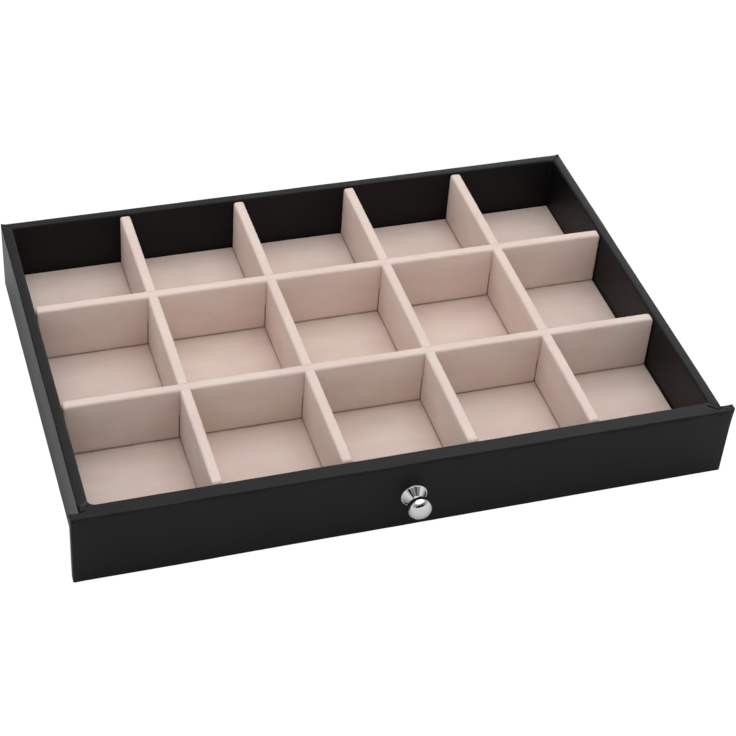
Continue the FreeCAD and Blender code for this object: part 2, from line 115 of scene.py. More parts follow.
# A finish for a surface, all procedural
class Finish(NodeBench):
    def __init__(self, name):
        self.material = bpy.data.materials.new(name)
        self.material.use_nodes = True
        super().__init__(self.material.node_tree)
        self.shader = self.tree.nodes["Principled BSDF"]
        self.place = self.add("ShaderNodeTexCoord").outputs["Object"]

    def stretched(self, scale):
        return self.add("ShaderNodeMapping", {"Vector": self.place, "Scale": scale}).outputs[0]

    def grain(self, size, detail=2.0, rough=0.5, vector=None):  # size is a feature's width in metres
        inputs = {"Vector": vector or self.place, "Scale": 1 / size, "Detail": detail, "Roughness": rough}
        return self.add("ShaderNodeTexNoise", inputs).outputs["Fac"]

    def cells(self, size, feature="F1"):
        inputs = {"Vector": self.place, "Scale": 1 / size}
        return self.add("ShaderNodeTexVoronoi", inputs, feature=feature).outputs["Distance"]

    def tint(self, share, dark, light):
        node = self.add("ShaderNodeMix", {"Factor": share}, data_type="RGBA")
        for socket, colour in ((node.inputs[6], dark), (node.inputs[7], light)):
            self.fill(socket, colour if isinstance(colour, bpy.types.NodeSocket) else (*colour, 1))
        return node.outputs[2]

    def painted(self, name):  # a number painted on the mesh, nought where there is none
        return self.add("ShaderNodeAttribute", attribute_name=name).outputs["Fac"]

    def bump(self, height, depth, strength=1.0, over=None):  # depth in metres
        inputs = {"Height": height, "Distance": depth, "Strength": strength}
        if over:
            inputs["Normal"] = over
        return self.add("ShaderNodeBump", inputs).outputs["Normal"]

    def set(self, **sockets):
        for name, value in sockets.items():
            self.fill(self.shader.inputs[name.replace("_", " ")], value)
        return self.material


leatheretteLook = {
    "dark": (0.0048, 0.0048, 0.0053),
    "light": (0.0080, 0.0080, 0.0086),
    "pebble": 0.55 * mm,  # width of one embossed pebble
    "pebbleEdge": 0.22,  # share of a pebble that slopes down to its edge
    "pebbleDepth": 0.045 * mm,
    "pebbleStrength": 0.6,
    "pore": 0.12 * mm,
    "poreDepth": 0.012 * mm,
    "patch": 25 * mm,  # patches that handling has turned lighter
    "patchBand": (0.35, 0.65),
    "gloss": (0.36, 0.48),  # roughness in the valleys and on the pebbles
    "glossBand": (0.3, 1.6),
    "specular": 0.15,
    "crease": (0.0008, 0.0008, 0.0009),  # painted shade in open seams and deep folds, and along the rim's outer edge
    "creaseBand": (0.15, 0.85),  # painted shade number from closed to wide open
    "creaseRoughness": 0.5,  # added where a seam is open
    "rubbed": (0.055, 0.055, 0.058),  # along raised folds
    "rubbedBand": (-0.1, -1.0),
}


def leatherette():
    look = leatheretteLook
    finish = Finish("blackLeatherette")
    pebble = finish.between(finish.cells(look["pebble"], "DISTANCE_TO_EDGE"), 0.0, look["pebbleEdge"])
    pore = finish.grain(look["pore"], 3.0, 0.6)
    patch = finish.grain(look["patch"], 3.0, 0.55)
    handled = finish.between(patch, *look["patchBand"])
    colour = finish.tint(finish.times(handled, pebble), look["dark"], look["light"])
    # painted shade: the mesh's shade number darkens the colour towards the crease shade
    fold = finish.painted("shade")
    opened = finish.between(fold, *look["creaseBand"])
    colour = finish.tint(opened, colour, look["crease"])
    colour = finish.tint(finish.between(fold, *look["rubbedBand"]), colour, look["rubbed"])
    rough = finish.between(finish.plus(pebble, patch), *look["glossBand"], *look["gloss"])
    rough = finish.plus(rough, finish.between(opened, 0.0, 1.0, 0.0, look["creaseRoughness"]))
    relief = finish.bump(pore, look["poreDepth"])
    relief = finish.bump(pebble, look["pebbleDepth"], look["pebbleStrength"], relief)
    return finish.set(
        Base_Color=colour, Roughness=rough, Normal=relief, Specular_IOR_Level=look["specular"]
    )


velvetLook = {
    "deep": (0.690, 0.565, 0.505),  # where the pile leans away
    "bright": (0.800, 0.668, 0.605),  # where it leans to the light
    "stroke": (9 * mm, 26 * mm, 9 * mm),  # brushed patches, drawn out along the nap
    "strokeLean": (0, 0.45),  # from deep, 0, to bright, 1
    "cloud": 34 * mm,
    "cloudLean": (0, 0.4),
    "pile": 0.16 * mm,
    "pileLean": (-0.12, 0.22),
    "pileDepth": 0.10 * mm,
    "tuft": 0.75 * mm,  # clumps of pile
    "tuftLean": (-0.22, 0.22),
    "blush": 17 * mm,  # patches that are a little pinker or yellower
    "blushBand": (0.35, 0.65),
    "pinker": (1.02, 0.97, 1.01),
    "yellower": (0.99, 1.02, 0.96),
    "shadow": (0.15, 0.07, 0.038),  # painted shadow along feet and slots
    "sheen": 0.12,
    "sheenRoughness": 0.45,
    "sheenTint": (1.0, 0.93, 0.88, 1),
}


def scaled(colour, factors):
    return tuple(value * factor for value, factor in zip(colour, factors))


def velvet(name, napAlong):
    look = velvetLook
    finish = Finish(name)
    across, along, up = look["stroke"]
    widths = (along, across, up) if napAlong == "x" else (across, along, up)
    strokes = finish.grain(1.0, 3.0, 0.55, finish.stretched(tuple(1 / width for width in widths)))
    clouds = finish.grain(look["cloud"], 2.0, 0.5)
    pile = finish.grain(look["pile"], 2.0, 0.7)
    tufts = finish.grain(look["tuft"], 3.0, 0.65)
    lean = finish.spread(strokes, *look["strokeLean"])
    for texture, share in ((clouds, "cloudLean"), (pile, "pileLean"), (tufts, "tuftLean")):
        lean = finish.plus(lean, finish.spread(texture, *look[share]))
    blush = finish.between(finish.grain(look["blush"], 3.0, 0.6), *look["blushBand"])
    deep = finish.tint(blush, *(scaled(look["deep"], look[way]) for way in ("pinker", "yellower")))
    colour = finish.tint(lean, deep, look["bright"])
    # painted shadow: the mesh's shade number darkens the pile towards the shadow colour
    colour = finish.tint(finish.between(finish.painted("shade"), 0.0, 1.0), colour, look["shadow"])
    return finish.set(
        Base_Color=colour,
        Roughness=1.0,
        Specular_IOR_Level=0.1,
        Sheen_Weight=look["sheen"],
        Sheen_Roughness=look["sheenRoughness"],
        Sheen_Tint=look["sheenTint"],
        Normal=finish.bump(pile, look["pileDepth"], 0.5),
    )


fibreboardLook = {
    "wall": ((0.46, 0.33, 0.21), (0.29, 0.19, 0.115)),  # pale and dark
    "divider": ((0.50, 0.37, 0.25), (0.33, 0.23, 0.15)),
    "fibres": (900, 900, 2200),  # fibres to a metre along X, Y and Z
    "fibreShare": 0.8,  # how dark the fibres turn the board
    "fleck": 1.3 * mm,
    "fleckEdge": 0.25,
    "fleckShare": 0.2,
    "roughness": (0.75, 0.92),
    "relief": 0.08 * mm,
}


def fibreboard(kind):
    look = fibreboardLook
    finish = Finish(kind + "Fibreboard")
    fibres = finish.grain(1.0, 4.0, 0.65, finish.stretched(look["fibres"]))
    flecks = finish.between(finish.cells(look["fleck"]), 0.0, look["fleckEdge"], look["fleckShare"], 0)
    share = finish.plus(finish.spread(fibres, 0, look["fibreShare"]), flecks)
    return finish.set(
        Base_Color=finish.tint(share, *look[kind]),
        Roughness=finish.between(fibres, 0.2, 0.8, *look["roughness"]),
        Normal=finish.bump(fibres, look["relief"], 0.5),
    )


cardLook = {
    "dark": (0.17, 0.155, 0.135),
    "light": (0.38, 0.36, 0.325),
    "pulp": 0.8 * mm,
    "fleck": 2.2 * mm,
    "fleckEdge": (0.04, 0.10),
    "relief": 0.05 * mm,
}


def greyCard():
    look = cardLook
    finish = Finish("greyCard")
    pulp = finish.grain(look["pulp"], 5.0, 0.7)
    flecks = finish.between(finish.cells(look["fleck"]), *look["fleckEdge"])
    colour = finish.tint(finish.times(pulp, flecks), look["dark"], look["light"])
    return finish.set(Base_Color=colour, Roughness=0.9, Normal=finish.bump(pulp, look["relief"], 0.5))


chromeLook = {
    "dark": (0.60, 0.60, 0.605),
    "light": (0.65, 0.65, 0.655),
    "haze": 2.5 * mm,
    "roughness": (0.02, 0.045),
    "speck": 0.25 * mm,
    "relief": 0.002 * mm,
}


def polishedChrome():
    look = chromeLook
    finish = Finish("polishedChrome")
    haze = finish.grain(look["haze"], 3.0, 0.6)
    specks = finish.grain(look["speck"], 2.0, 0.5)
    return finish.set(
        Base_Color=finish.tint(haze, look["dark"], look["light"]),
        Metallic=1.0,
        Roughness=finish.spread(haze, *look["roughness"]),
        Normal=finish.bump(specks, look["relief"], 0.2),
    )


zincLook = {
    "dark": (0.48, 0.49, 0.50),
    "light": (0.66, 0.66, 0.65),
    "spangle": 0.9 * mm,
    "brushed": 0.3 * mm,
    "roughness": (0.26, 0.46),
    "relief": 0.01 * mm,
}


def zincPlate():
    look = zincLook
    finish = Finish("zincPlate")
    spangle = finish.between(finish.cells(look["spangle"]), 0, 0.7)
    brushed = finish.grain(look["brushed"], 4.0, 0.6)
    return finish.set(
        Base_Color=finish.tint(spangle, look["dark"], look["light"]),
        Metallic=1.0,
        Roughness=finish.between(brushed, 0.2, 0.8, *look["roughness"]),
        Normal=finish.bump(brushed, look["relief"], 0.4),
    )


finishes = {
    "leatherette": leatherette(),
    "floorVelvet": velvet("floorVelvet", "x"),
    "longVelvet": velvet("longDividerVelvet", "x"),
    "crossVelvet": velvet("crossDividerVelvet", "y"),
    "wallBoard": fibreboard("wall"),
    "dividerBoard": fibreboard("divider"),
    "card": greyCard(),
    "chrome": polishedChrome(),
    "zinc": zincPlate(),
}
print("finishes mixed:", ", ".join(sorted(finishes)))


# Pieces whose CAD shape is right only get their finish
def finishNode(name, finish):
    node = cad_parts[name]
    if not node.material_slots:
        node.data.materials.append(finish)
    for materialSlot in node.material_slots:
        materialSlot.material = finish
    for face in node.data.polygons:
        face.use_smooth = True
    node.data.set_sharp_from_angle(angle=math.radians(30))


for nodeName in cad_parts:
    if nodeName.endswith("_board"):
        finishNode(nodeName, finishes["wallBoard"])
    elif nodeName.endswith("_core"):
        finishNode(nodeName, finishes["dividerBoard"])
finishNode("floor_card", finishes["card"])
for nodeName in ("knob_screw", "knob_washer", "corner_brads"):
    finishNode(nodeName, finishes["zinc"])
print("boards, card and fixings finished")


# Open shells: flat faces with every fold rounded, cut into a fine net that hand work can disturb
foldAngle = 0.5  # faces that meet at more than this, in radians, make a fold


def roundFolds(shell, folds, radius, steps):
    bmesh.ops.bevel(
        shell, geom=folds, offset=radius, offset_type="OFFSET", segments=steps,
        profile=0.5, affect="EDGES", clamp_overlap=True,
    )


def sharpFolds(shell, chosen=lambda place: True):
    folds = []
    for edge in shell.edges:
        if len(edge.link_faces) == 2 and edge.calc_face_angle() > foldAngle:
            if chosen((edge.verts[0].co + edge.verts[1].co) / 2):
                folds.append(edge)
    return folds


def turnOutwards(shell):
    # its highest face looks up
    bmesh.ops.recalc_face_normals(shell, faces=shell.faces)
    shell.normal_update()
    highest = max(shell.faces, key=lambda face: (face.calc_center_median().z, face.calc_area()))
    if highest.normal.z < 0:
        bmesh.ops.reverse_faces(shell, faces=shell.faces)


def foldedShell(faces, foldRadius, foldSteps, wideFold=None, wideRadius=None):
    shell = bmesh.new()
    known = {}
    for corners in faces:
        points = []
        for corner in corners:
            key = tuple(round(value, 7) for value in corner)
            if key not in known:
                known[key] = shell.verts.new(corner)
            if known[key] not in points:
                points.append(known[key])
        shell.faces.new(points)
    turnOutwards(shell)
    if wideFold:
        roundFolds(shell, sharpFolds(shell, wideFold), wideRadius, foldSteps)
    roundFolds(shell, sharpFolds(shell), foldRadius, foldSteps)
    return shell


def cutAcross(shell, normal, distances):
    normal = Vector(normal).normalized()
    for distance in distances:
        everything = shell.verts[:] + shell.edges[:] + shell.faces[:]
        place = normal * distance
        bmesh.ops.bisect_plane(shell, geom=everything, dist=1e-6, plane_co=place, plane_no=normal)


def spaced(start, end, step):
    count = max(1, round(abs(end - start) / step))
    return [start + (end - start) * index / count for index in range(count + 1)]


def cutNet(shell, lo, hi, step):
    cutAcross(shell, (1, 0, 0), spaced(lo.x, hi.x, step)[1:-1])
    cutAcross(shell, (0, 1, 0), spaced(lo.y, hi.y, step)[1:-1])


def ripple(point, size, seed):
    return noise.noise(point / size + Vector((seed, 2 * seed, 3 * seed)))


def varied(point, middle, swing, size, seed):  # swings to both sides of the middle value
    return middle + swing * ripple(point, size, seed)


def bell(distance, width):
    return math.exp(-((distance / width) ** 2))


def pinned(value):
    return max(0.0, min(1.0, value))


def disturb(shell, push):
    shell.normal_update()
    moves = [(vertex, push(vertex.co.copy(), vertex.normal.copy())) for vertex in shell.verts]
    for vertex, move in moves:
        vertex.co += move


def paint(shell, shade):
    # a number at every corner of the net: above nought is painted shade that darkens the finish, below rubs
    # it lighter
    layer = shell.verts.layers.float.new("shade")
    for vertex in shell.verts:
        vertex[layer] = shade(vertex.co)


def placed(name, data):
    thing = bpy.data.objects.new(name, data)
    bpy.context.collection.objects.link(thing)
    return thing


def pieceFrom(shell, name, finish, body, node):
    shell.normal_update()
    for face in shell.faces:
        face.smooth = True
    mesh = bpy.data.meshes.new(name)
    shell.to_mesh(mesh)
    shell.free()
    mesh.materials.append(finish)
    piece = placed(name, mesh)
    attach(piece, body)
    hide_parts(node)
    return piece


def sheetFrom(shell, name, finish, slotName, body, node, thickness, flat, restsOn, **area):
    piece = pieceFrom(shell, name, finish, body, node)
    solid = piece.modifiers.new("thickness", "SOLIDIFY")
    solid.thickness = thickness
    solid.offset = -1
    shading = piece.modifiers.new("shading", "WEIGHTED_NORMAL")
    shading.keep_sharp = True


# Leatherette covers
coverWork = {
    "foldRadius": 0.7 * mm,
    "innerFoldRadius": 1.0 * mm,  # over the inner edge of the rim
    "foldSteps": 5,
    "net": 3.0 * mm,  # spacing of the net along a wall
    "upNet": 3.5 * mm,
    "rimNet": 0.6 * mm,
    "fineNet": 0.45 * mm,
    "fineReach": 9 * mm,  # the net is fine this close to each end
    "cornerNet": (0.15 * mm, 0.4 * mm, 0.8 * mm, 1.4 * mm),  # extra cuts beside each mitre
    "slack": 0.10 * mm,  # how far the sheet stands off or sinks over its board
    "slackSize": 42 * mm,
    "glueLumps": 0.05 * mm,
    "glueLumpSize": 9 * mm,
    "streaks": 0.022 * mm,  # long faint pulls in the sheet
    "streakSize": (16 * mm, 1.3 * mm),
    "topOnly": 4,  # a high power keeps work on the rim off the walls
    "crown": 0.16 * mm,  # the rim swells in the middle of its width
    "crownSlope": 0.3,  # where the sheet looks up less than this, it doesn't swell
    "fasciaEnd": 1 * mm,  # the swell and the painted shade line along the edge start this far behind the fascia
    "seamDip": 0.18 * mm,  # each sheet rolls down a little at its cut edge
    "seamWidth": 0.32 * mm,
    "seamStill": 1.2 * mm,  # no slack this close to a mitre, so that the sheets meet
    "seamShade": 0.62,
    "seamLine": 0.22 * mm,  # width of the painted shade line in a mitre
    "seamRubbed": (0.5, 0.75 * mm, 0.3 * mm),  # share, place and width of the lighter line beside it
    "ragged": (0.7, 0.6, 2.0 * mm),  # middle shade, how far it swings, and over what length
    "edgeShade": 1.7,  # painted shade line along the rim's outer edge
    "edgeWidth": 0.40 * mm,
    "innerCorners": {  # how far each inner corner is rounded, and over what reach
        "leftFront": (0.85 * mm, 1.6 * mm),
        "leftBack": (0.25 * mm, 1.1 * mm),
        "rightFront": (0.40 * mm, 1.1 * mm),
        "rightBack": (0.25 * mm, 1.1 * mm),
    },
    "innerCornerDeep": 9 * mm,  # and how far down from the rim
    "deepest": 0.33 * mm,  # no hand work goes deeper than the sheet is thick
    "rearLean": (0.15 * mm, 0.33 * mm),  # how far the left and the right wall lean over at the back
    "middleLean": 0.4,  # share of it in the middle of their length
    "rearPeaks": {  # how far the covers' tips stand up at the rear corners
        "left": (0.0, 0.1 * mm, 0.55 * mm),
        "right": (-0.25 * mm, 0.1 * mm, 0.6 * mm),
    },
    "peakReach": 1.3 * mm,
}

# Hand work on the rim beside the front corners, in millimetres from the outer front corner of that
# side's wall, +X to the right and +Y to the back: side, line, width, lift and shade
# shade above nought is painted shade in the fold's gap, below nought rubs the sheet lighter
cornerFolds = [
    ("left", ((0.55, 3.2), (0.5, 1.4), (0.75, 0.1)), 0.35, -0.45, 1.0),
    ("left", ((0.75, 0.1), (2.0, 0.15), (3.6, -0.1)), 0.3, -0.25, 0.9),
    ("left", ((1.3, 3.4), (3.1, 4.3), (4.8, 6.0)), 0.2, 0.16, -1.0),
    ("left", ((1.9, 3.0), (4.6, 4.8)), 0.2, 0.10, -0.6),
    ("right", ((-5.9, 1.4), (-4.8, 0.15), (-3.6, -0.8), (-2.5, -1.5)), 0.42, -0.6, 1.0),
    ("right", ((-2.3, -2.2), (-1.0, -1.7), (-0.2, -1.1)), 0.32, -0.35, 0.9),
    ("right", ((-5.0, 1.6), (-2.1, 0.0)), 0.35, 0.25, -0.5),
    ("right", ((-5.2, -1.0), (-3.2, -2.4)), 0.4, 0.15, -0.25),
]
foldWork = {
    "deep": 1.0 * mm,  # how far down from the rim the folds go
    "leastSeen": 0.05,
    "behind": 12 * mm,  # no fold is further behind the fascia
    "ragged": (1, 0.5, 1.1 * mm),  # of a fold's width
}


def offLine(point, line):
    # shortest level way from a point to a line of straight stretches
    ways = []
    for start, end in zip(line, line[1:]):
        along = end - start
        share = pinned((point - start).dot(along) / along.length_squared)
        ways.append((point - start - along * share).length)
    return min(ways)


def readFolds():
    folds = []
    for side, offsets, width, lift, shade in cornerFolds:
        corner = Vector((tray[side], tray["earBack"]))
        line = [corner + Vector(offset) * mm for offset in offsets]
        folds.append({"line": line, "width": width * mm, "lift": lift * mm, "shade": shade})
    return folds


foldsAtCorners = readFolds()


def foldAt(point, what):
    nearRim = bell(tray["rim"] - point.z, foldWork["deep"])
    if nearRim < foldWork["leastSeen"] or point.y > tray["earBack"] + foldWork["behind"]:
        return 0.0
    ragged = varied(point, *foldWork["ragged"], 31)
    total = 0.0
    for fold in foldsAtCorners:
        total += fold[what] * bell(offLine(point.to_2d(), fold["line"]), fold["width"] * ragged)
    return total * nearRim


def innerCorners():
    wall = tray["wall"]
    corners = []
    for side, sign in (("left", -1), ("right", 1)):
        for end, y in (("Front", tray["frontInside"]), ("Back", tray["back"] - wall)):
            place = Vector((sign * (tray["right"] - wall), y))
            towardsMiddle = Vector((-sign, math.copysign(1, -y), 0))
            corners.append((place, towardsMiddle, coverWork["innerCorners"][side + end]))
    return corners


def acrossRim(point):
    # nought at the outer edge of the rim, one at its inner edge
    outer = min(abs(point.x - tray["left"]), abs(tray["right"] - point.x), tray["back"] - point.y)
    return pinned(outer / tray["wall"])


def lean(point):
    left, right = coverWork["rearLean"]
    middle = coverWork["middleLean"]
    share = pinned((1 - middle) * (point.y / tray["back"]) + middle)
    return (left + (right - left) * (point.x - tray["left"]) / (tray["right"] - tray["left"])) * share


def offSeam(point, seams):
    # shortest way to a mitre that is near this point
    ways = [1.0]
    for seamPoint, seamNormal in seams:
        if (point - seamPoint).to_2d().length < 2 * tray["wall"]:
            ways.append(abs((point - seamPoint).dot(seamNormal)))
    return min(ways)


def behindFascia(point):
    return point.y > tray["earBack"] + coverWork["fasciaEnd"]


def coverPush(tips, seed, alongY):
    # tips: corner, how far it is pushed, reach
    work = coverWork
    long, short = work["streakSize"]
    widths = (short, long, short) if alongY else (long, short, short)
    streak = Vector([1 / width for width in widths])
    corners = innerCorners()
    seams = seamPlanes()

    def push(point, normal):
        away = offSeam(point, seams)
        loose = 1 - bell(away, work["seamStill"])
        slack = work["slack"] * ripple(point, work["slackSize"], seed)
        slack += work["glueLumps"] * ripple(point, work["glueLumpSize"], seed + 7)
        onTop = max(0.0, normal.z) ** work["topOnly"]
        slack += work["streaks"] * ripple(point * streak, 1.0, seed + 9) * onTop
        move = normal * slack * loose
        move -= normal * work["seamDip"] * bell(away, work["seamWidth"]) * onTop
        deep = bell(tray["rim"] - point.z, work["innerCornerDeep"])
        for corner, towardsMiddle, (roundness, reach) in corners:
            move += towardsMiddle * roundness * (bell((point.to_2d() - corner).length, reach) * deep)
        for tip, pull, reach in tips:
            move += Vector(pull) * bell((point - Vector(tip)).length, reach)
        move.z += foldAt(point, "lift")
        if normal.z > work["crownSlope"] and behindFascia(point):
            move.z += work["crown"] * math.sin(math.pi * acrossRim(point)) * loose
        depth = -move.dot(normal)
        if depth > work["deepest"]:
            move += normal * (depth - work["deepest"])
        move.x -= lean(point)
        return move

    return push


# painted shade: dark lines in the mitres, in the corner folds and along the rim's outer edge, with lighter
# rubbed lines beside the mitres
def seamShade(point):
    work = coverWork
    ragged = varied(point, *work["ragged"], 41)
    rubbed, aside, width = work["seamRubbed"]
    away = offSeam(point, seamPlanes())
    line = bell(away, work["seamLine"]) - rubbed * bell(away - aside, width)
    shade = foldAt(point, "shade") + work["seamShade"] * ragged * line
    if behindFascia(point):
        offEdge = math.hypot(acrossRim(point) * tray["wall"], tray["rim"] - point.z)
        shade += work["edgeShade"] * ragged * bell(offEdge, work["edgeWidth"])
    return shade


def outline(length, width, startShoulder, endShoulder, height):
    # plan of a wall's top or bottom strip: square for the shoulder's depth, then mitred
    return [
        (0, 0, height),
        (length, 0, height),
        (length, endShoulder, height),
        (length - (width - endShoulder), width, height),
        (width - startShoulder, width, height),
        (0, startShoulder, height),
    ]


def wallFaces(length, startShoulder, endShoulder):
    wall, floor, rim = tray["wall"], tray["trayFloor"], tray["rim"]
    start, end = wall - startShoulder, length - (wall - endShoulder)
    return [
        outline(length, tray["turnUnder"], startShoulder, endShoulder, 0.0),
        [(0, 0, 0), (length, 0, 0), (length, 0, rim), (0, 0, rim)],
        outline(length, wall, startShoulder, endShoulder, rim),
        [(start, wall, floor), (end, wall, floor), (end, wall, rim), (start, wall, rim)],
    ]


shoulder = tray["wall"] - (tray["frontInside"] - tray["earBack"])
sideLength = tray["back"] - tray["earBack"]
wallCovers = {
    "leftSideCover": {
        "node": "left_side_cover", "origin": (tray["left"], tray["back"]), "along": (0, -1),
        "across": (1, 0), "length": sideLength, "shoulders": (0.0, shoulder), "peaks": ["left"],
    },
    "rightSideCover": {
        "node": "right_side_cover", "origin": (tray["right"], tray["earBack"]), "along": (0, 1),
        "across": (-1, 0), "length": sideLength, "shoulders": (shoulder, 0.0), "peaks": ["right"],
    },
    "backCover": {
        "node": "back_cover", "origin": (tray["right"], tray["back"]), "along": (-1, 0),
        "across": (0, -1), "length": tray["right"] - tray["left"], "shoulders": (0.0, 0.0),
        "peaks": ["left", "right"],
    },
}


def seamPlanes():
    # the four mitres, as a point and a level normal each
    back, front = tray["back"], tray["earBack"]
    planes = []
    for x, sign in ((tray["left"], 1), (tray["right"], -1)):
        planes.append((Vector((x, back, 0)), Vector((1, sign, 0)).normalized()))
        planes.append((Vector((x + sign * shoulder, front, 0)), Vector((1, -sign, 0)).normalized()))
    return planes


def stationsAlong(start, end):
    # coarse in the middle, fine near both ends
    work = coverWork
    step = math.copysign(work["fineReach"], end - start)
    stations = spaced(start, start + step, work["fineNet"])[1:]
    stations += spaced(start + step, end - step, work["net"])[1:]
    return stations + spaced(end - step, end, work["fineNet"])[1:-1]


def workCover(shell, shade, push):
    for point, normal in seamPlanes():
        here = point.dot(normal)
        cutAcross(shell, normal, [here + side * gap for side in (-1, 1) for gap in coverWork["cornerNet"]])
    paint(shell, shade)
    disturb(shell, push)


def makeWallCover(name, plan, seed):
    work = coverWork
    origin, along, across = (Vector(plan[key]) for key in ("origin", "along", "across"))

    def toWorld(corner):
        ground = origin + along * corner[0] + across * corner[1]
        return (ground.x, ground.y, corner[2])

    def innerRim(place):
        inward = (place.to_2d() - origin).dot(across)
        return inward > tray["wall"] - hair and place.z > tray["rim"] - hair

    faces = [[toWorld(corner) for corner in face] for face in wallFaces(plan["length"], *plan["shoulders"])]
    shell = foldedShell(faces, work["foldRadius"], work["foldSteps"], innerRim, work["innerFoldRadius"])
    first = origin.dot(along)
    cutAcross(shell, along.to_3d(), stationsAlong(first, first + plan["length"]))
    cutAcross(shell, (0, 0, 1), spaced(0, tray["rim"], work["upNet"])[1:-1])
    middle = origin.dot(across)
    cutAcross(shell, across.to_3d(), spaced(middle, middle + tray["wall"], work["rimNet"])[1:-1])
    tips = []
    for side in plan["peaks"]:
        tips.append(((tray[side], tray["back"], tray["rim"]), work["rearPeaks"][side], work["peakReach"]))
    workCover(shell, seamShade, coverPush(tips, seed, plan["along"][0] == 0))
    strip = tray["turnUnder"] + tray["rim"] + tray["wall"] + tray["rim"] - tray["trayFloor"]
    sheetFrom(
        shell, name, finishes["leatherette"], "wall_leatherette", "drawer", plan["node"], tray["leather"],
        (plan["length"], strip), [plan["node"].replace("_cover", "_board"), "bottom_board"],
    )


for seed, (name, plan) in enumerate(wallCovers.items(), start=1):
    makeWallCover(name, plan, seed)
print("wall covers wrapped:", ", ".join(wallCovers))


frontCoverWork = {
    "innerFoldRadius": 0.8 * mm,
    "bandNet": 0.5 * mm,
    "fineReach": 14 * mm,
    "edgeCuts": (0.9 * mm, 1.2 * mm, 1.6 * mm, 2.1 * mm),  # extra cuts under the fascia's top edge
    "earZone": 3 * mm,  # how much of the fascia's end follows its ear
    "leftEar": {"out": -0.33 * mm, "tip": (-0.1 * mm, 0.1 * mm, 0.35 * mm), "reach": 1.2 * mm},
    "rightEar": {"out": 0.75 * mm, "tip": (1.1 * mm, 0.1 * mm, 0.05 * mm), "reach": 2.1 * mm},
    "flare": 1.35 * mm,  # how far the right ear's front corner stands out
    "flareRound": 1.2 * mm,  # how far it is rounded back
    "flareReach": (3.0 * mm, 5.0 * mm),  # in plan, and down from the rim
    "flareClear": (1.3 * mm, 0.8 * mm),  # where the rounding starts, before the ear's end, and its rise
    "rimWave": 0.28 * mm,  # waviness of the fascia's top front edge
    "rimWaveSize": 26 * mm,
    "rimWaveReach": 1.2 * mm,
    "rimWaveUp": 0.5,  # how much of it goes up as well as forward
    "edgeShade": 0.45,  # painted shade line just under the fascia's turned top edge
    "edgeLine": (1.2 * mm, 0.6 * mm),  # how far under it, and how wide
    "edgeRagged": (0.8, 0.8, 7 * mm),  # middle, swing and length, as in ragged
    "faceDeep": 0.3 * mm,  # what counts as the fascia's front
    "sideFold": (1.0 * mm, 0.45 * mm),  # crease in from the fascia's sides, and its width
    "sideFoldShade": -0.16,
}


def frontFaces():
    rim, floor, turn = tray["rim"], tray["trayFloor"], tray["turnUnder"]
    face, earBack, inside, ear = tray["face"], tray["earBack"], tray["frontInside"], tray["ear"]
    square = tray["right"] - shoulder
    mitred = tray["right"] - tray["wall"]
    tuck = tray["right"] - turn

    def mirrored(points, height):
        right = [(x, y, height) for x, y in points]
        return right + [(-x, y, height) for x, y in reversed(points)]

    def upright(first, second, low):
        return [(*first, low), (*second, low), (*second, rim), (*first, rim)]

    ring = [(ear, face), (ear, earBack), (square, earBack)]
    faces = [
        mirrored(ring + [(mitred, inside)], rim),
        mirrored(ring + [(tuck, earBack + turn - shoulder), (tuck, earBack + turn)], 0.0),
        upright((-ear, face), (ear, face), 0.0),
        upright((-mitred, inside), (mitred, inside), floor),
    ]
    for side in (-1, 1):
        faces.append(upright((side * ear, face), (side * ear, earBack), 0.0))
        faces.append(upright((side * ear, earBack), (side * square, earBack), 0.0))
    return faces


def frontShade(point):
    work = frontCoverWork
    shade = seamShade(point)
    if point.y < tray["face"] + work["faceDeep"]:
        # painted shade line under the fascia's top edge
        under, width = work["edgeLine"]
        line = bell(tray["rim"] - point.z - under, width)
        shade += work["edgeShade"] * line * varied(point, *work["edgeRagged"], 51)
        inwards, width = work["sideFold"]
        shade += work["sideFoldShade"] * bell(tray["ear"] - abs(point.x) - inwards, width)
    return shade


def frontPush(seed):
    work = frontCoverWork
    ear = tray["ear"]
    zone = work["earZone"]
    aside, down = work["flareReach"]
    clear, rise = work["flareClear"]
    tips = []
    for side, plan in ((-1, work["leftEar"]), (1, work["rightEar"])):
        tips.append(((side * ear, tray["earBack"], tray["rim"]), plan["tip"], plan["reach"]))
    base = coverPush(tips, seed, False)

    def push(point, normal):
        move = base(point, normal)
        outwards = abs(point.x) - (ear - zone)
        if outwards > 0:
            plan = work["leftEar"] if point.x < 0 else work["rightEar"]
            move.x += math.copysign(plan["out"], point.x) * min(1.0, outwards / zone)
        under = tray["rim"] - point.z
        behind = point.y - tray["face"]
        high = bell(under, down)
        move.x += work["flare"] * high * bell((point - Vector((ear, tray["face"], point.z))).length, aside)
        beyond = pinned((point.x - ear + clear) / rise)  # only where the sheet is clear of the board
        move.y += work["flareRound"] * high * beyond * bell(behind, aside)
        nearFront = bell(behind, work["rimWaveReach"]) * bell(under, work["rimWaveReach"])
        wave = ripple(Vector((point.x, 0, 0)), work["rimWaveSize"], seed) * work["rimWave"] * nearFront
        return move + Vector((0, wave, wave * work["rimWaveUp"]))

    return push


